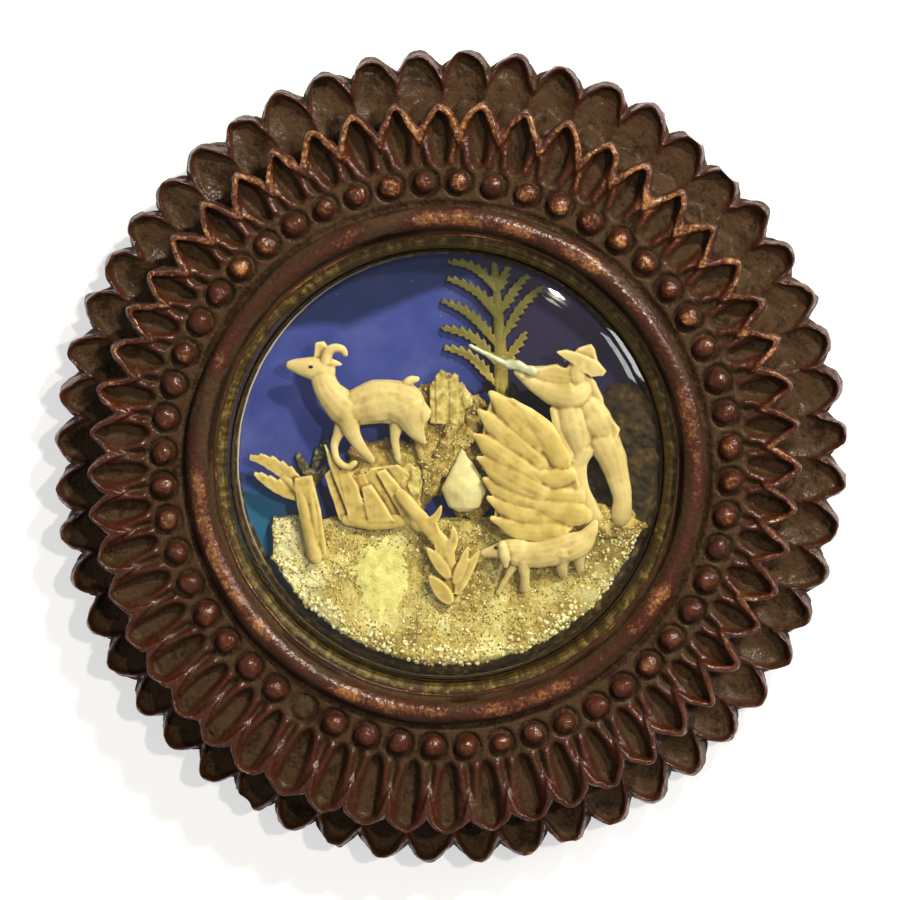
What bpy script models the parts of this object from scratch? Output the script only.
"""Miniature diorama: a carved round frame with a domed glass, a painted sky and a hunting scene carved in bone.

The ornament hangs on a wall. The origin is the centre of its back plane, +X is to the right, +Z is up and the
glass faces -Y. Below, "forward" is a distance from the wall plane towards the viewer.
"""

import math

import bmesh
import bpy
from mathutils import Matrix, Vector, noise

MM = 0.001
GAP = 0.3 * MM

# Carved petal rings
PETALS = 52
PETAL_PHASE = math.radians(4.3)
OVAL = 0.018
OVAL_LEAN = math.radians(76)
OUTER_PETAL_SHOW = 7.2 * MM
OUTER_NOTCH = 2.3 * MM
OUTER_EDGE_BACK = 4.6 * MM
OUTER_EDGE_MIDDLE = 6.0 * MM
OUTER_LIP = 8.2 * MM
OUTER_LIP_DIP = 0.9 * MM
SCOOP_LENGTH = 3.4 * MM
SCOOP_DEPTH = 1.5 * MM
BACK_FLAT_MARGIN = 2.2 * MM
INNER_PETAL_LENGTH = 9.0 * MM
INNER_NOTCH = 3.7 * MM
INNER_RING_THICK = 4.7 * MM
INNER_UNDERCUT = 1.5 * MM
INNER_LIP_RISE = 1.0 * MM
HOLLOW_DEPTH = 1.2 * MM
SPINE_RISE = 0.5 * MM
BAND_WIDTH = 6.3 * MM
BAND_CHAMFER = 0.6 * MM

# Beads round the band, one of them broken off
BEAD_INSET = 2.2 * MM
BEAD_R = 1.65 * MM
BEAD_SINK = 0.25 * MM
BROKEN_BEAD = 34
STUB_HEIGHT = 0.35 * MM

# Case: a turned wall with a ledge for the backing board
CASE_INNER_R = 33.2 * MM
CASE_WALL = 4.0 * MM
CASE_DEPTH = 9.0 * MM
RECESS_DEPTH = 4.0 * MM
BOARD_THICK = 2.0 * MM
LEDGE_WIDTH = 1.8 * MM

# Rim moulding that holds the glass
RIM_ROUND_R = 1.5 * MM
RIM_RIDGE_FORWARD = 14.5 * MM
RIM_LIP_THICK = 0.8 * MM

# Domed glass with its bedding and slip
GLASS_SEAT_WIDTH = 1.7 * MM
GLASS_THICK = 1.2 * MM
GLASS_RISE = 6.0 * MM
GLASS_ROUNDNESS = 2.6
SLIP_THICK = 0.3 * MM
SLIP_SHOW = 0.7 * MM

# Painted paper lining
PAPER_THICK = 0.4 * MM
LINING_CORNER = 2.0 * MM
LINING_WALL = 3.2 * MM
LINING_RAG = 0.7 * MM

# Ground and rocks, in two layers from the sky forwards
GROUND_INSET = 3.0 * MM
GROUND_SIDE = 1.6 * MM
GROUND_SLOPE = 0.165

# Fittings on the back
BRAD_R = 0.5 * MM
BRAD_LENGTH = 2.8 * MM
BRAD_BITE = 1.4 * MM
BRADS = 4
EYE_HEIGHT = 22.0 * MM
EYE_WIRE_R = 0.4 * MM
EYE_HOLE_R = 0.95 * MM
EYE_SHANK = 1.7 * MM
RING_R = 5.4 * MM
RING_WIRE_R = 0.55 * MM

# Places that follow from the sizes above
CASE_OUTER_R = CASE_INNER_R + CASE_WALL
RING_BORE_R = CASE_OUTER_R + GAP
BAND_OUTER_R = RING_BORE_R + BAND_WIDTH
BEAD_CIRCLE_R = BAND_OUTER_R - BEAD_INSET
BACK_FLAT_R = BAND_OUTER_R + BACK_FLAT_MARGIN
INNER_TIP_R = BAND_OUTER_R + INNER_PETAL_LENGTH
OUTER_TIP_R = INNER_TIP_R + OUTER_PETAL_SHOW
REBATE_R = CASE_INNER_R + LEDGE_WIDTH
SIGHT_R = CASE_INNER_R
GLASS_R = CASE_INNER_R + GLASS_SEAT_WIDTH
SLIP_INNER_R = CASE_INNER_R - SLIP_SHOW
BOARD_FRONT = RECESS_DEPTH + BOARD_THICK
SEAT_FORWARD = CASE_DEPTH + GAP
BAND_FORWARD = SEAT_FORWARD + INNER_RING_THICK
LINING_R = CASE_INNER_R - GAP
SKY_FORWARD = BOARD_FRONT + GAP + PAPER_THICK
LINING_RIM = SKY_FORWARD + LINING_WALL
SCENE_BACK = SKY_FORWARD + GAP
BEDDING_TOP = SEAT_FORWARD + 1.1 * MM
SLIP_BACK = BEDDING_TOP + GAP
GLASS_BACK = SLIP_BACK + SLIP_THICK + GAP
GLASS_FLANGE = GLASS_BACK + GLASS_THICK
DOME_R = SIGHT_R - GAP
EYE_LOOP_R = EYE_HOLE_R + EYE_WIRE_R
EYE_FORWARD = RECESS_DEPTH - GAP - EYE_LOOP_R - EYE_WIRE_R
BRAD_FORWARD = RECESS_DEPTH - GAP - BRAD_R
TURN_STEPS = 52

# The scene is drawn in millimetres for a case of 33.2 mm inner radius, its back 7 mm from the wall
DRAWN_BACK = 7.0
SCENE_UNIT = CASE_INNER_R / 33.2
ROCK_FRONT = SCENE_BACK + 2.9 * SCENE_UNIT
FIGURE_BACK = ROCK_FRONT + GAP
GROUND_R = CASE_INNER_R - GROUND_INSET
GROUND_HALF_WIDTH = GROUND_R - GROUND_SIDE
GROUND_TOP = -9.0 * SCENE_UNIT
GROUND_TOP_FORWARD = SCENE_BACK + 2.5 * SCENE_UNIT


def clear_scene():
    for obj in list(bpy.data.objects):
        bpy.data.objects.remove(obj, do_unlink=True)


def new_collection(name):
    collection = bpy.data.collections.new(name)
    bpy.context.scene.collection.children.link(collection)
    return collection


def scene_forward(forward):
    """How far from the wall a drawn distance comes out."""
    return SCENE_BACK + (forward - DRAWN_BACK) * SCENE_UNIT


def spot(x, z, forward):
    """A place in the drawn scene: x to the right, z up, forward from the wall."""
    return Vector((x * SCENE_UNIT, -scene_forward(forward), z * SCENE_UNIT))


def finish_material(name, colour, roughness, metallic=0.0, transmission=0.0):
    material = bpy.data.materials.new(name)
    material.use_nodes = True
    shader = material.node_tree.nodes["Principled BSDF"]
    shader.inputs["Base Color"].default_value = (*colour, 1.0)
    shader.inputs["Roughness"].default_value = roughness
    shader.inputs["Metallic"].default_value = metallic
    shader.inputs["Transmission Weight"].default_value = transmission
    return material


def stained_wood(name):
    return finish_material(name, (0.05, 0.022, 0.012), 0.45)


def carved_bone(name):
    return finish_material(name, (0.68, 0.54, 0.29), 0.5)


def brass(name):
    return finish_material(name, (0.55, 0.38, 0.14), 0.35, metallic=1.0)


def add_piece(name, mesh, material):
    piece = bpy.data.objects.new(name, mesh)
    mesh.materials.clear()
    mesh.materials.append(material)
    PIECES.objects.link(piece)
    return piece


def add_helper(name, mesh):
    helper = bpy.data.objects.new(name, mesh)
    helper.hide_render = True
    helper.display_type = "WIRE"
    HELPERS.objects.link(helper)
    return helper


def mesh_from(bm, name, smooth=True):
    bmesh.ops.recalc_face_normals(bm, faces=bm.faces)
    mesh = bpy.data.meshes.new(name)
    bm.to_mesh(mesh)
    bm.free()
    if smooth:
        mesh.shade_smooth()
        mesh.set_sharp_from_angle(angle=math.radians(35))
    return mesh


def add_boolean(body, other, operation):
    modifier = body.modifiers.new(other.name, "BOOLEAN")
    modifier.operation = operation
    modifier.object = other


def turned(name, profile, material, steps=TURN_STEPS):
    """A piece turned about the line of sight. The profile holds (radius, forward), down its outer side."""
    bm = bmesh.new()
    corners = [bm.verts.new((radius, 0.0, forward)) for radius, forward in profile]
    for first, second in zip(corners, corners[1:] + corners[:1]):
        if first.co.x or second.co.x:
            bm.edges.new((first, second))
    mesh = bpy.data.meshes.new(name)
    bm.to_mesh(mesh)
    bm.free()
    piece = add_piece(name, mesh, material)
    screw = piece.modifiers.new("Turn", "SCREW")
    screw.axis = "Z"
    screw.steps = steps
    screw.render_steps = steps
    screw.use_merge_vertices = True
    screw.merge_threshold = 0.00001
    screw.use_smooth_shade = True
    piece.rotation_euler = (math.radians(90), 0.0, 0.0)
    return piece


def ring_loft(name, stations):
    """A closed ring lofted through closed (radius, forward) sections, one for each (angle, section)."""
    bm = bmesh.new()
    rows = []
    for angle, section in stations:
        cosine = math.cos(angle)
        sine = math.sin(angle)
        rows.append([bm.verts.new((r * cosine, -forward, r * sine)) for r, forward in section])
    count = len(rows[0])
    for index, row in enumerate(rows):
        following = rows[(index + 1) % len(rows)]
        for k in range(count):
            after = (k + 1) % count
            bm.faces.new((row[k], row[after], following[after], following[k]))
    return mesh_from(bm, name)


def strip_loft(name, sections):
    """A solid lofted through closed sections of points, with flat ends."""
    bm = bmesh.new()
    rows = [[bm.verts.new(point) for point in section] for section in sections]
    count = len(rows[0])
    for row, following in zip(rows, rows[1:]):
        for k in range(count):
            after = (k + 1) % count
            bm.faces.new((row[k], row[after], following[after], following[k]))
    bm.faces.new(rows[0])
    bm.faces.new(rows[-1])
    return mesh_from(bm, name)


def limb_mesh(name, points, radii, depth=1.0, resolution=1):
    """A tapered tube through drawn points, its section squeezed to depth front to back."""
    curve = bpy.data.curves.new(name, "CURVE")
    curve.dimensions = "3D"
    curve.bevel_depth = SCENE_UNIT
    curve.bevel_resolution = resolution
    curve.use_fill_caps = True
    spline = curve.splines.new("POLY")
    spline.points.add(len(points) - 1)
    for point, (x, z, forward), radius in zip(spline.points, points, radii):
        place = spot(x, z, forward)
        point.co = (place.x, place.y / depth, place.z, 1.0)
        point.radius = radius
    tube = bpy.data.objects.new(name, curve)
    HELPERS.objects.link(tube)
    tube.scale = (1.0, depth, 1.0)
    bpy.context.view_layer.update()
    graph = bpy.context.evaluated_depsgraph_get()
    mesh = bpy.data.meshes.new_from_object(tube.evaluated_get(graph))
    mesh.transform(tube.matrix_world)
    bpy.data.objects.remove(tube, do_unlink=True)
    bpy.data.curves.remove(curve)
    bm = bmesh.new()
    bm.from_mesh(mesh)
    bmesh.ops.remove_doubles(bm, verts=bm.verts, dist=0.000001)
    bpy.data.meshes.remove(mesh)
    return mesh_from(bm, name)


def carving(name, limbs, material):
    """One carved piece: the first limb with every other limb joined to it."""
    first, *others = limbs
    piece = add_piece(name, limb_mesh(name, *first), material)
    for index, limb in enumerate(others, start=1):
        part = f"{name}_limb_{index}"
        add_boolean(piece, add_helper(part, limb_mesh(part, *limb)), "UNION")
    return piece


def boulder_mesh(name, centre, size, seed, back, front, detail=2):
    """A rough stone about a drawn centre, of half-sizes (x, z, forward), cut flat at back and front."""
    bm = bmesh.new()
    bmesh.ops.create_icosphere(bm, subdivisions=detail, radius=1.0)
    for vertex in bm.verts:
        lump = 1.0 + 0.16 * noise.noise(vertex.co * 2.1 + Vector((seed, 0.0, 0.0)))
        x, y, z = vertex.co * lump
        place = spot(centre[0] + x * size[0], centre[1] + z * size[1], centre[2] - y * size[2])
        place.y = -min(max(-place.y, back), front)
        vertex.co = place
    return mesh_from(bm, name)


def oval(angle):
    """How much further out a hand-cut outline stands at this angle."""
    return 1.0 + OVAL * math.cos(2.0 * (angle - OVAL_LEAN))


def petal_stations(shares):
    """(angle, share of the pitch from the nearest outer tip) for each station round the ring."""
    pitch = 2.0 * math.pi / PETALS
    for petal in range(PETALS):
        for share in shares:
            yield PETAL_PHASE + (petal + share) * pitch, abs(share)


def outer_petal_ring():
    stations = []
    for angle, share in petal_stations((-0.5, -0.24, 0.0, 0.24)):
        crest = 0.5 + 0.5 * math.cos(2.0 * math.pi * share)
        reach = (OUTER_TIP_R - OUTER_NOTCH * (1.0 - crest)) * oval(angle)
        lip = OUTER_LIP - OUTER_LIP_DIP * (1.0 - crest)
        scoop = OUTER_LIP - SCOOP_DEPTH * crest - OUTER_LIP_DIP * (1.0 - crest)
        seat_r = (INNER_TIP_R - INNER_NOTCH) * oval(angle)
        section = [
            (RING_BORE_R, 0.0),
            (BACK_FLAT_R, 0.0),
            (reach - 0.8 * MM, OUTER_EDGE_BACK),
            (reach, OUTER_EDGE_MIDDLE),
            (reach - 0.6 * MM, lip),
            (reach - SCOOP_LENGTH, scoop),
            (seat_r, CASE_DEPTH),
            (RING_BORE_R, CASE_DEPTH),
        ]
        stations.append((angle, section))
    add_piece("outer_petal_ring", ring_loft("outer_petal_ring", stations), stained_wood("outer_ring_wood"))


def inner_petal_ring():
    stations = []
    for angle, share in petal_stations((-0.5, -0.25, 0.0, 0.25)):
        crest = math.sin(math.pi * share)
        reach = (INNER_TIP_R - INNER_NOTCH * (1.0 - crest)) * oval(angle)
        middle = 0.5 * (BAND_OUTER_R + reach)
        on_spine = abs(share - 0.25) < 0.01
        hollow = BAND_FORWARD + SPINE_RISE if on_spine else BAND_FORWARD - HOLLOW_DEPTH * (0.4 + 0.6 * crest)
        section = [
            (RING_BORE_R, SEAT_FORWARD),
            (reach - INNER_UNDERCUT, SEAT_FORWARD),
            (reach, BAND_FORWARD + 0.3 * INNER_LIP_RISE),
            (reach - 0.6 * MM, BAND_FORWARD + INNER_LIP_RISE),
            (reach - 1.4 * MM, 0.5 * (hollow + BAND_FORWARD)),
            (middle, hollow),
            (BAND_OUTER_R, BAND_FORWARD),
            (RING_BORE_R + BAND_CHAMFER, BAND_FORWARD),
            (RING_BORE_R, BAND_FORWARD - BAND_CHAMFER),
        ]
        stations.append((angle, section))
    ring = add_piece("inner_petal_ring", ring_loft("inner_petal_ring", stations), stained_wood("inner_ring_wood"))
    add_boolean(ring, add_helper("beads", bead_mesh()), "UNION")


def bead_mesh():
    """Every bead of the band as a ball half sunk in it, and a low stub where one broke off."""
    bm = bmesh.new()
    for bead in range(PETALS):
        angle = PETAL_PHASE + bead * 2.0 * math.pi / PETALS
        turn = Matrix.Rotation(-angle, 4, "Y") @ Matrix.Translation((BEAD_CIRCLE_R, -BAND_FORWARD, 0.0))
        if bead == BROKEN_BEAD:
            place = turn @ Matrix.Rotation(math.radians(90), 4, "X")
            bmesh.ops.create_cone(
                bm,
                cap_ends=True,
                segments=6,
                radius1=BEAD_R,
                radius2=0.8 * BEAD_R,
                depth=2.0 * STUB_HEIGHT,
                matrix=place,
            )
        else:
            place = turn @ Matrix.Translation((0.0, BEAD_SINK, 0.0)) @ Matrix.Rotation(math.radians(90), 4, "X")
            bmesh.ops.create_uvsphere(bm, u_segments=6, v_segments=4, radius=BEAD_R, matrix=place)
    return mesh_from(bm, "beads")


def case_wall():
    profile = [
        (CASE_OUTER_R, CASE_DEPTH),
        (CASE_OUTER_R, 0.0),
        (REBATE_R, 0.0),
        (REBATE_R, BOARD_FRONT + GAP),
        (CASE_INNER_R, BOARD_FRONT + GAP),
        (CASE_INNER_R, CASE_DEPTH),
    ]
    case = turned("case_wall", profile, stained_wood("case_wood"))
    for index, angle in enumerate(brad_angles(), start=1):
        depth = BRAD_BITE + 2.0 * GAP
        middle = REBATE_R - GAP + 0.5 * depth
        hole = brad_mesh(f"brad_hole_{index}", angle, middle, depth, BRAD_R + GAP)
        add_boolean(case, add_helper(f"brad_hole_{index}", hole), "DIFFERENCE")


def brad_angles():
    return [math.radians(45) + index * 2.0 * math.pi / BRADS for index in range(BRADS)]


def brad_mesh(name, angle, middle, length, radius):
    """A round bar lying along a radius of the case, behind the backing board."""
    place = (
        Matrix.Rotation(-angle, 4, "Y")
        @ Matrix.Translation((middle, -BRAD_FORWARD, 0.0))
        @ Matrix.Rotation(math.radians(90), 4, "Y")
    )
    bm = bmesh.new()
    bmesh.ops.create_cone(bm, cap_ends=True, segments=10, radius1=radius, radius2=radius, depth=length, matrix=place)
    return mesh_from(bm, name)


def board_brads():
    outer_end = REBATE_R + BRAD_BITE
    for index, angle in enumerate(brad_angles(), start=1):
        name = f"board_brad_{index}"
        mesh = brad_mesh(name, angle, outer_end - 0.5 * BRAD_LENGTH, BRAD_LENGTH, BRAD_R)
        add_piece(name, mesh, finish_material(f"{name}_iron", (0.18, 0.15, 0.12), 0.5, metallic=1.0))


def rim_moulding():
    ridge_r = RING_BORE_R - GAP - RIM_ROUND_R
    glass_rebate = GLASS_R + GAP
    lip_back = GLASS_FLANGE + GAP
    profile = []
    for step in range(7):
        turn = math.radians(180 - 30 * step)
        profile.append((ridge_r + RIM_ROUND_R * math.cos(turn), RIM_RIDGE_FORWARD + RIM_ROUND_R * math.sin(turn)))
    profile += [
        (RING_BORE_R - GAP, SEAT_FORWARD),
        (glass_rebate, SEAT_FORWARD),
        (glass_rebate, lip_back),
        (SIGHT_R, lip_back),
        (SIGHT_R, lip_back + RIM_LIP_THICK),
    ]
    turned("rim_moulding", profile, stained_wood("rim_wood"))


def dome_curve(radius, rise, base, points=7):
    """(radius, forward) from the middle of a dome out to its foot."""
    curve = []
    for step in range(points):
        share = math.sin(0.5 * math.pi * step / (points - 1))
        height = max(0.0, 1.0 - share**GLASS_ROUNDNESS) ** (1.0 / 2.2)
        curve.append((radius * share, base + rise * height))
    return curve


def domed_glass():
    outside = dome_curve(DOME_R, GLASS_RISE, GLASS_FLANGE)
    inside = dome_curve(DOME_R - GLASS_THICK, GLASS_RISE, GLASS_BACK)
    profile = outside + [(GLASS_R, GLASS_FLANGE), (GLASS_R, GLASS_BACK)] + inside[::-1]
    material = finish_material("dome_glass", (0.92, 0.95, 0.93), 0.05, transmission=1.0)
    turned("domed_glass", profile, material)


def glass_bedding():
    profile = [
        (GLASS_R, BEDDING_TOP),
        (GLASS_R, SEAT_FORWARD),
        (CASE_INNER_R, SEAT_FORWARD),
        (CASE_INNER_R, BEDDING_TOP),
    ]
    turned("glass_bedding", profile, finish_material("putty", (0.3, 0.27, 0.2), 0.9))


def gilt_slip():
    profile = [
        (GLASS_R, SLIP_BACK + SLIP_THICK),
        (GLASS_R, SLIP_BACK),
        (SLIP_INNER_R, SLIP_BACK),
        (SLIP_INNER_R, SLIP_BACK + SLIP_THICK),
    ]
    turned("gilt_slip", profile, finish_material("gilt_card", (0.5, 0.42, 0.14), 0.4, metallic=1.0))


def sky_lining():
    """A dish of painted paper against the case wall, its front edge torn unevenly."""
    back = SKY_FORWARD - PAPER_THICK
    inside_r = LINING_R - PAPER_THICK
    stations = []
    for step in range(TURN_STEPS):
        angle = 2.0 * math.pi * step / TURN_STEPS
        rag = 0.5 + 0.3 * math.sin(7.0 * angle) + 0.2 * math.sin(17.0 * angle + 1.0)
        rim = LINING_RIM - LINING_RAG * rag
        stations.append((angle, rim))
    bm = bmesh.new()
    front_pole = bm.verts.new((0.0, -SKY_FORWARD, 0.0))
    back_pole = bm.verts.new((0.0, -back, 0.0))
    rows = []
    for angle, rim in stations:
        section = [
            (inside_r - LINING_CORNER, SKY_FORWARD),
            (inside_r - 0.3 * LINING_CORNER, SKY_FORWARD + 0.3 * LINING_CORNER),
            (inside_r, SKY_FORWARD + LINING_CORNER),
            (inside_r, rim),
            (LINING_R, rim),
            (LINING_R, back + LINING_CORNER),
            (LINING_R - 0.3 * LINING_CORNER, back + 0.3 * LINING_CORNER),
            (LINING_R - LINING_CORNER, back),
        ]
        rows.append([bm.verts.new((r * math.cos(angle), -f, r * math.sin(angle))) for r, f in section])
    for index, row in enumerate(rows):
        following = rows[(index + 1) % len(rows)]
        for k in range(len(row) - 1):
            bm.faces.new((row[k], row[k + 1], following[k + 1], following[k]))
        bm.faces.new((front_pole, row[0], following[0]))
        bm.faces.new((back_pole, following[-1], row[-1]))
    mesh = mesh_from(bm, "sky_lining")
    add_piece("sky_lining", mesh, finish_material("painted_paper", (0.09, 0.12, 0.42), 0.8))


def ground_forward(z):
    """How far forward the sandy slope stands at height z."""
    return GROUND_TOP_FORWARD + (GROUND_TOP - z) * GROUND_SLOPE


def ground_mound():
    sections = []
    steps = 18
    for step in range(steps + 1):
        x = GROUND_HALF_WIDTH * math.cos(math.pi * (1.0 - step / steps))
        edge_r = GROUND_R * (1.0 + 0.012 * math.sin(9.0 * step))
        bottom = -math.sqrt(edge_r**2 - x**2)
        top = max(GROUND_TOP + 0.8 * MM * math.sin(1.3 * step), bottom + 2.0 * MM)
        top = min(top, GROUND_TOP + 0.8 * MM)
        sections.append(
            [
                Vector((x, -SCENE_BACK, min(bottom + 1.4 * MM, top - 0.5 * MM))),
                Vector((x, -SCENE_BACK - 2.2 * MM, bottom)),
                Vector((x, -ground_forward(bottom) + 0.8 * MM, bottom)),
                Vector((x, -ground_forward(bottom), bottom + 0.7 * MM)),
                Vector((x, -ground_forward(top), top - 0.3 * MM)),
                Vector((x, -ground_forward(top) + 0.8 * MM, top)),
                Vector((x, -SCENE_BACK, top)),
            ]
        )
    mesh = strip_loft("ground_mound", sections)
    add_piece("ground_mound", mesh, finish_material("sanded_plaster", (0.5, 0.42, 0.26), 0.95))


def pond_patch():
    """A smooth lens of hardened glue lying on the slope."""
    bm = bmesh.new()
    tilt = Matrix.Rotation(math.radians(90) - math.atan(GROUND_SLOPE), 4, "X")
    thick = 0.6 * MM
    centre_z = -17.6 * SCENE_UNIT
    forward = ground_forward(centre_z) + GAP / math.cos(math.atan(GROUND_SLOPE)) + 0.5 * thick
    place = Matrix.Translation((-9.6 * SCENE_UNIT, -forward, centre_z)) @ tilt @ Matrix.Diagonal((0.8, 1.0, 1.0, 1.0))
    bmesh.ops.create_cone(
        bm,
        cap_ends=True,
        segments=18,
        radius1=6.0 * SCENE_UNIT,
        radius2=5.4 * SCENE_UNIT,
        depth=thick,
        matrix=place,
    )
    mesh = mesh_from(bm, "pond_patch")
    add_piece("pond_patch", mesh, finish_material("pond_glue", (0.62, 0.66, 0.36), 0.25))


def centre_crag():
    material = finish_material("crag_plaster", (0.55, 0.46, 0.27), 0.85)
    upper = boulder_mesh("centre_crag", (-0.6, 4.0, 7.6), (5.6, 7.8, 3.8), 1.0, SCENE_BACK, ROCK_FRONT)
    crag = add_piece("centre_crag", upper, material)
    lower = boulder_mesh("crag_foot", (-8.0, -2.6, 7.6), (9.0, 5.4, 3.8), 2.0, SCENE_BACK, ROCK_FRONT)
    add_boolean(crag, add_helper("crag_foot", lower), "UNION")


def cork_rock():
    material = finish_material("cork_bark", (0.09, 0.065, 0.04), 0.9)
    lower = boulder_mesh("cork_rock", (25.0, -2.4, 7.6), (4.8, 5.4, 2.6), 3.0, SCENE_BACK, ROCK_FRONT)
    rock = add_piece("cork_rock", lower, material)
    upper = boulder_mesh("cork_crown", (25.6, 5.0, 7.6), (4.4, 5.6, 2.6), 4.0, SCENE_BACK, ROCK_FRONT)
    add_boolean(rock, add_helper("cork_crown", upper), "UNION")


def cone_stone():
    points = [(2.2, -9.8, 10.6), (2.3, -5.0, 11.9), (2.4, -0.4, 11.8), (2.4, 2.0, 11.8)]
    carving("cone_stone", [(points, [1.4, 3.5, 1.7, 0.4], 0.45)], finish_material("white_stone", (0.78, 0.76, 0.55), 0.5))


def crag_crystals():
    material = finish_material("green_crystal", (0.6, 0.6, 0.25), 0.2)
    front = scene_forward(14.0)
    first = boulder_mesh("crag_crystals", (-2.6, 10.2, 11.0), (2.2, 1.7, 0.9), 5.0, FIGURE_BACK, front, detail=1)
    lump = add_piece("crag_crystals", first, material)
    second = boulder_mesh("crystal_lump", (0.4, 9.6, 11.1), (2.0, 2.2, 1.0), 6.0, FIGURE_BACK, front, detail=1)
    add_boolean(lump, add_helper("crystal_lump", second), "UNION")


def glass_beads():
    places = {"green_glass_bead": (9.2, 10.2, 8.9), "dark_glass_bead": (5.4, 10.9, 8.9)}
    colours = {"green_glass_bead": (0.12, 0.2, 0.06), "dark_glass_bead": (0.02, 0.03, 0.02)}
    for name, place in places.items():
        bm = bmesh.new()
        at = Matrix.Translation(spot(*place))
        bmesh.ops.create_uvsphere(bm, u_segments=10, v_segments=6, radius=0.9 * SCENE_UNIT, matrix=at)
        add_piece(name, mesh_from(bm, name), finish_material(f"{name}_glass", colours[name], 0.1))


def chamois():
    """A chamois looking left, its body arched, on four thin legs."""
    f = 12.2
    limbs = [
        ([(-15.0, 6.6, f), (-13.4, 7.2, f), (-9.6, 8.0, f), (-6.2, 7.8, f), (-4.2, 6.4, f)], [1.6, 3.3, 3.5, 3.7, 1.7], 0.5),
        ([(-13.2, 7.0, f), (-15.4, 8.9, f), (-17.0, 11.0, f), (-18.2, 12.9, f)], [2.9, 2.3, 1.9, 1.6], 0.6),
        ([(-17.2, 13.2, f), (-19.2, 13.6, f), (-21.4, 13.4, f), (-23.2, 13.7, f)], [1.4, 1.7, 1.1, 0.7], 0.65),
        ([(-18.8, 14.0, f - 0.4), (-18.9, 16.9, f - 0.5)], [0.7, 0.5], 1.0, 0),
        ([(-17.6, 14.0, f + 0.3), (-17.0, 16.2, f + 0.4), (-15.9, 16.5, f + 0.4), (-15.3, 15.4, f + 0.4)], [0.7, 0.65, 0.55, 0.35], 1.0, 0),
        ([(-17.6, 13.6, f), (-15.7, 14.1, f)], [0.8, 0.35], 0.6, 0),
        ([(-5.4, 9.6, f), (-4.5, 12.1, f)], [1.2, 0.6], 0.6, 0),
        ([(-14.2, 6.4, f - 0.4), (-16.3, 3.0, f - 0.4), (-15.9, 0.7, 11.9), (-14.4, -0.4, 11.9)], [1.3, 0.8, 0.7, 0.6], 0.8),
        ([(-13.4, 6.0, f + 0.5), (-12.3, 2.6, 11.6), (-10.7, 0.1, 10.7)], [1.9, 0.95, 0.6], 0.7),
        ([(-5.4, 7.2, f + 0.3), (-4.2, 3.9, f + 0.1), (-3.7, 1.9, 11.4), (-2.7, -0.3, 10.7)], [2.4, 1.4, 0.75, 0.6], 0.6),
        ([(-6.8, 7.0, f - 0.3), (-7.7, 3.2, 11.4), (-7.1, 0.9, 10.7)], [1.7, 0.85, 0.6], 0.7),
    ]
    carving("chamois", limbs, carved_bone("chamois_bone"))


def hunter():
    """A hunter in a skirted coat and a brimmed hat, leaning back as he aims to the left."""
    f = 12.2
    limbs = [
        ([(19.4, 11.6, f), (18.8, 9.8, f), (19.2, 6.6, f), (21.0, 4.2, f), (21.8, 2.6, f)], [2.4, 3.9, 3.2, 3.9, 3.9], 0.48),
        ([(19.8, 10.8, f), (19.5, 12.7, f), (19.4, 14.2, f)], [1.2, 1.8, 1.5], 0.7),
        ([(19.2, 14.4, f), (19.9, 15.4, f), (20.9, 17.6, f)], [3.3, 2.3, 1.5], 0.5),
        ([(18.8, 10.2, f + 0.2), (14.6, 10.2, f + 0.4), (10.9, 13.0, f + 0.2)], [2.3, 1.7, 0.9], 0.6),
        ([(19.6, 11.2, f - 0.3), (16.4, 12.0, f - 0.2), (13.0, 13.2, f - 0.2)], [1.7, 1.3, 0.9], 0.7),
        ([(22.4, 4.0, f - 0.2), (23.8, 1.4, f - 0.2), (25.2, -1.8, f - 0.3), (26.4, -6.0, f - 0.6), (26.0, -9.6, 10.5)], [2.2, 2.2, 1.8, 1.2, 1.0], 0.6),
        ([(20.2, 4.0, f + 0.2), (19.8, -0.6, f + 0.1), (21.2, -4.6, f - 0.2), (22.4, -9.6, 10.6)], [1.8, 1.5, 1.4, 1.1], 0.6),
    ]
    carving("hunter", limbs, carved_bone("hunter_bone"))


def rifle():
    f = 13.65
    limbs = [([(3.8, 17.0, f), (7.6, 15.3, f), (10.2, 14.2, f), (12.4, 13.6, f)], [0.4, 0.5, 0.7, 0.9], 0.6)]
    carving("rifle", limbs, finish_material("rifle_wire", (0.75, 0.75, 0.68), 0.35, metallic=0.6))


def hunting_dog():
    """A low dog with a hanging ear, its feet on the slope."""
    f = 13.4
    limbs = [
        ([(10.2, -13.2, f), (12.0, -13.6, f), (15.0, -13.2, f), (18.2, -12.2, f), (20.4, -11.2, f)], [1.6, 2.1, 1.7, 1.8, 1.1], 0.65),
        ([(11.2, -13.0, f), (8.6, -12.8, f), (7.0, -13.0, f), (5.6, -13.2, f)], [1.6, 1.6, 1.1, 0.75], 0.65),
        ([(8.8, -12.4, f + 0.7), (9.4, -15.2, f + 0.8)], [0.9, 0.6], 0.6, 0),
        ([(19.4, -11.2, f), (21.0, -10.0, f), (22.4, -9.4, f)], [1.0, 0.7, 0.4], 1.0, 0),
        ([(11.8, -13.4, f + 0.2), (12.0, -16.4, f - 0.2), (12.0, -18.8, f - 1.4)], [1.2, 0.8, 0.65], 0.8),
        ([(11.0, -13.4, f - 0.3), (9.6, -16.8, f - 0.6), (8.9, -19.8, f - 1.4)], [1.1, 0.65, 0.55], 0.8),
        ([(18.2, -12.6, f + 0.2), (17.8, -14.6, f - 0.4), (18.0, -16.4, f - 1.8)], [1.4, 0.8, 0.6], 0.8),
        ([(18.8, -12.4, f - 0.3), (20.0, -13.8, f - 0.9), (20.2, -15.4, f - 2.0)], [1.2, 0.7, 0.6], 0.8),
    ]
    carving("hunting_dog", limbs, carved_bone("dog_bone"))


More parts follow.
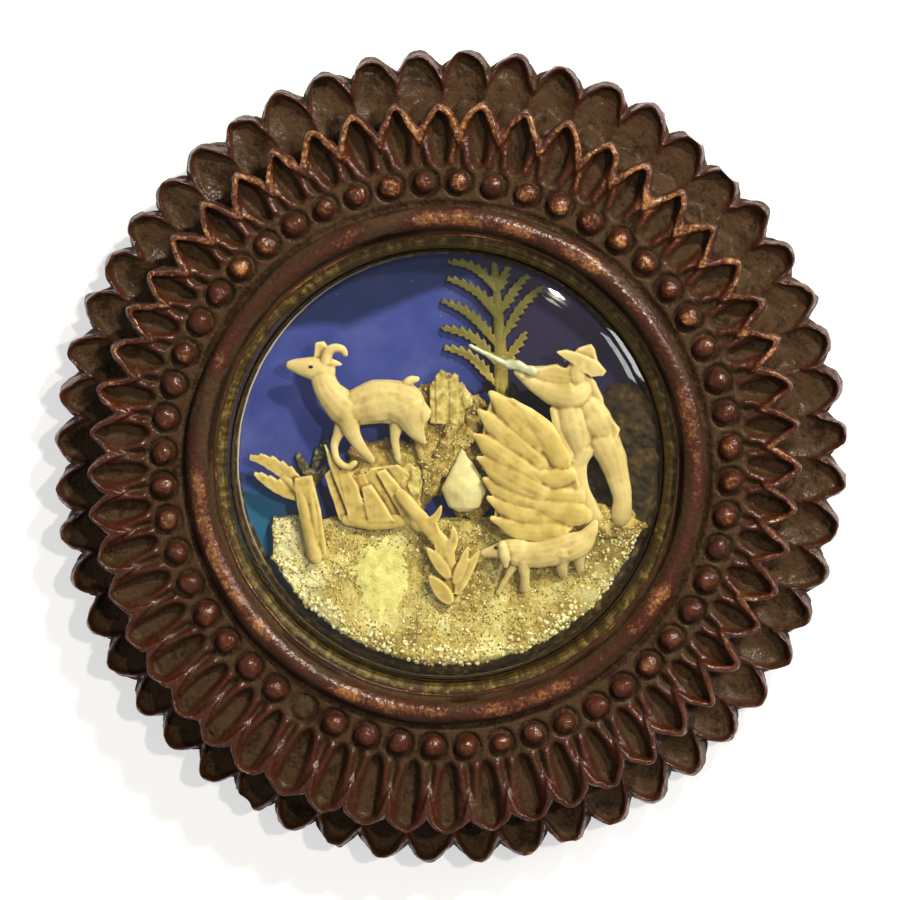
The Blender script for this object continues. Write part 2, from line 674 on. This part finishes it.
def back_fir():
    """A fir cut flat like fretwork, stained green, its boughs curling up from the trunk."""
    middle = 7.55
    trunk = ([(7.6, -7.9, middle), (7.6, 8.0, middle), (7.3, 18.9, middle), (6.7, 29.2, middle)], [1.0, 1.0, 0.9, 0.5], 0.6, 0)
    boughs = [
        ((6.8, 24.4), (3.6, 28.2), (-0.4, 29.4)),
        ((6.9, 21.6), (3.6, 25.2), (-0.6, 26.5)),
        ((7.1, 17.4), (3.6, 21.6), (-1.4, 23.2)),
        ((7.2, 13.6), (3.2, 17.4), (-1.4, 19.4)),
        ((7.3, 10.4), (3.2, 14.4), (-0.9, 16.3)),
        ((7.0, 21.8), (8.4, 25.2), (9.6, 28.0)),
        ((7.2, 19.6), (9.8, 23.4), (13.4, 26.2)),
        ((7.2, 16.2), (10.2, 19.8), (13.2, 22.2)),
        ((7.3, 13.0), (9.8, 16.0), (11.4, 18.6)),
    ]
    limbs = [trunk]
    for bough in boughs:
        limbs.append(([(x, z, middle) for x, z in bough], [0.9, 1.25, 0.45], 0.4, 0))
    carving("back_fir", limbs, finish_material("stained_bone", (0.3, 0.27, 0.08), 0.55))


def fir_bush():
    """A fir bush carved in the round, its boughs lapping upwards to the left."""
    f = 12.4
    limbs = [([(9.4, 8.4, f), (11.4, 4.0, f), (13.0, -1.0, f), (14.6, -6.0, f), (15.6, -10.0, 10.9)], [2.4, 4.3, 4.8, 4.2, 2.0], 0.42)]
    tips = [(6.8, 11.0), (4.8, 7.6), (4.0, 4.2), (4.6, 1.1), (6.2, -4.4), (6.8, -8.2)]
    roots = [(10.6, 5.6), (11.2, 3.0), (12.0, 0.4), (12.6, -2.4), (13.6, -6.0), (14.4, -8.4)]
    for (tip_x, tip_z), (root_x, root_z) in zip(tips, roots):
        half_x = 0.5 * (tip_x + root_x)
        half_z = 0.5 * (tip_z + root_z) - 0.4
        limbs.append(([(root_x, root_z, f), (half_x, half_z, f), (tip_x, tip_z, f)], [1.4, 1.9, 0.3], 0.6))
    carving("fir_bush", limbs, carved_bone("bush_bone"))


def front_fern():
    """A fern sprig standing on the slope in front of the crag, one long frond leaning left."""
    f = 12.7
    limbs = [
        ([(1.2, -20.2, 12.1), (0.4, -14.8, f - 0.2), (-0.8, -10.2, f), (-3.2, -6.6, f), (-5.6, -2.6, f), (-7.8, 1.2, f)], [0.8, 1.0, 1.1, 1.4, 1.2, 0.4], 0.5, 0),
        ([(0.8, -17.2, f - 0.4), (-1.2, -14.4, f), (-2.4, -12.4, f)], [0.7, 1.2, 0.3], 0.5, 0),
        ([(0.9, -19.2, f - 0.5), (-1.0, -17.2, f), (-2.1, -15.4, f)], [0.6, 1.0, 0.3], 0.5, 0),
        ([(1.0, -18.6, f - 0.5), (3.0, -15.2, f), (4.8, -12.9, f)], [0.6, 1.1, 0.3], 0.5, 0),
        ([(0.2, -13.4, f), (0.9, -10.0, f), (0.6, -8.0, f)], [0.6, 1.1, 0.3], 0.5, 0),
    ]
    carving("front_fern", limbs, carved_bone("fern_bone"))


def left_fern():
    """A thick stem at the left with two lobed fronds reaching for the edge."""
    limbs = [
        ([(-19.2, -15.4, 11.6), (-20.6, -11.0, 11.4), (-21.8, -6.8, 11.3), (-22.8, -3.6, 11.2)], [1.3, 1.5, 1.3, 1.1], 0.6),
        ([(-22.4, -4.2, 11.2), (-25.8, -2.0, 10.9), (-29.6, -1.0, 10.7)], [1.1, 1.35, 0.7], 0.5),
        ([(-22.2, -5.6, 11.2), (-25.4, -4.5, 10.9), (-28.8, -3.0, 10.7)], [1.0, 1.1, 0.6], 0.5),
    ]
    carving("left_fern", limbs, carved_bone("left_fern_bone"))


def grass_blades():
    """Four broad blades of grass growing from one clump."""
    f = 10.95
    limbs = [([(-15.0, -9.0, f), (-10.8, -9.4, f), (-6.8, -9.2, f)], [1.3, 1.5, 1.3], 0.5)]
    blades = [
        ((-14.8, -9.2), (-18.4, 2.6)),
        ((-12.4, -9.2), (-16.2, -1.0)),
        ((-9.8, -9.2), (-13.2, -2.4)),
        ((-7.4, -9.2), (-10.4, -3.8)),
    ]
    for (foot_x, foot_z), (tip_x, tip_z) in blades:
        middle = (0.5 * (foot_x + tip_x), 0.5 * (foot_z + tip_z), f)
        limbs.append(([(foot_x, foot_z, f), middle, (tip_x, tip_z, f)], [1.2, 1.45, 0.6], 0.5))
    carving("grass_blades", limbs, carved_bone("grass_bone"))


def leaf_sprig():
    """A small dark sprig standing behind the grass."""
    f = 7.55
    limbs = [
        ([(-21.0, -7.6, f), (-20.6, -3.0, f), (-19.8, 1.0, f)], [0.5, 0.45, 0.3], 1.0, 0),
        ([(-20.4, -1.6, f), (-18.8, 1.2, f), (-18.0, 3.0, f)], [0.4, 0.7, 0.2], 0.6, 0),
        ([(-20.7, -3.0, f), (-22.2, -0.6, f), (-22.6, 0.8, f)], [0.4, 0.6, 0.2], 0.6, 0),
    ]
    carving("leaf_sprig", limbs, finish_material("sprig_stain", (0.22, 0.19, 0.1), 0.6))


def backing_board():
    board_r = REBATE_R - GAP
    profile = [(0.0, BOARD_FRONT), (board_r, BOARD_FRONT), (board_r, RECESS_DEPTH), (0.0, RECESS_DEPTH)]
    board = turned("backing_board", profile, finish_material("board_pine", (0.3, 0.2, 0.1), 0.8))
    depth = EYE_SHANK + 2.0 * GAP
    middle = RECESS_DEPTH - GAP + 0.5 * depth
    place = Matrix.Translation((0.0, -middle, EYE_HEIGHT)) @ Matrix.Rotation(math.radians(90), 4, "X")
    radius = EYE_WIRE_R + GAP
    bm = bmesh.new()
    bmesh.ops.create_cone(bm, cap_ends=True, segments=12, radius1=radius, radius2=radius, depth=depth, matrix=place)
    add_boolean(board, add_helper("eye_hole", mesh_from(bm, "eye_hole")), "DIFFERENCE")


def wire_ring(name, radius, wire_radius, steps, sides, matrix):
    """A closed ring of round wire about the local Z axis."""
    bm = bmesh.new()
    rows = []
    for step in range(steps):
        turn = 2.0 * math.pi * step / steps
        row = []
        for side in range(sides):
            around = 2.0 * math.pi * side / sides
            r = radius + wire_radius * math.cos(around)
            row.append(bm.verts.new((r * math.cos(turn), r * math.sin(turn), wire_radius * math.sin(around))))
        rows.append(row)
    for index, row in enumerate(rows):
        following = rows[(index + 1) % steps]
        for k in range(sides):
            after = (k + 1) % sides
            bm.faces.new((row[k], following[k], following[after], row[after]))
    bmesh.ops.transform(bm, matrix=matrix, verts=bm.verts)
    return mesh_from(bm, name)


def hanging_eye():
    """A small eye screwed into the board, its loop standing on edge so that the ring swings in it."""
    centre = Vector((0.0, -EYE_FORWARD, EYE_HEIGHT))
    place = Matrix.Translation(centre) @ Matrix.Rotation(math.radians(90), 4, "Y")
    loop = wire_ring("hanging_eye", EYE_LOOP_R, EYE_WIRE_R, 16, 8, place)
    eye = add_piece("hanging_eye", loop, brass("eye_brass"))
    start = EYE_FORWARD + EYE_LOOP_R
    end = RECESS_DEPTH + EYE_SHANK - GAP
    shank_place = Matrix.Translation((0.0, -0.5 * (start + end), EYE_HEIGHT)) @ Matrix.Rotation(math.radians(90), 4, "X")
    bm = bmesh.new()
    bmesh.ops.create_cone(
        bm,
        cap_ends=True,
        segments=8,
        radius1=0.95 * EYE_WIRE_R,
        radius2=0.95 * EYE_WIRE_R,
        depth=end - start,
        matrix=shank_place,
    )
    add_boolean(eye, add_helper("eye_shank", mesh_from(bm, "eye_shank")), "UNION")


def hanging_ring():
    """The ring swings about a left-to-right axis through the eye. Its origin is on that axis."""
    place = Matrix.Translation((0.0, 0.0, -RING_R)) @ Matrix.Rotation(math.radians(90), 4, "X")
    mesh = wire_ring("hanging_ring", RING_R, RING_WIRE_R, 28, 8, place)
    ring = add_piece("hanging_ring", mesh, brass("ring_brass"))
    ring.location = (0.0, -EYE_FORWARD, EYE_HEIGHT)


clear_scene()
PIECES = new_collection("miniature_diorama")
HELPERS = new_collection("cutters")
outer_petal_ring()
inner_petal_ring()
rim_moulding()
case_wall()
domed_glass()
glass_bedding()
gilt_slip()
sky_lining()
ground_mound()
pond_patch()
centre_crag()
cork_rock()
cone_stone()
crag_crystals()
glass_beads()
chamois()
hunter()
rifle()
hunting_dog()
back_fir()
fir_bush()
front_fern()
left_fern()
grass_blades()
leaf_sprig()
backing_board()
board_brads()
hanging_eye()
hanging_ring()
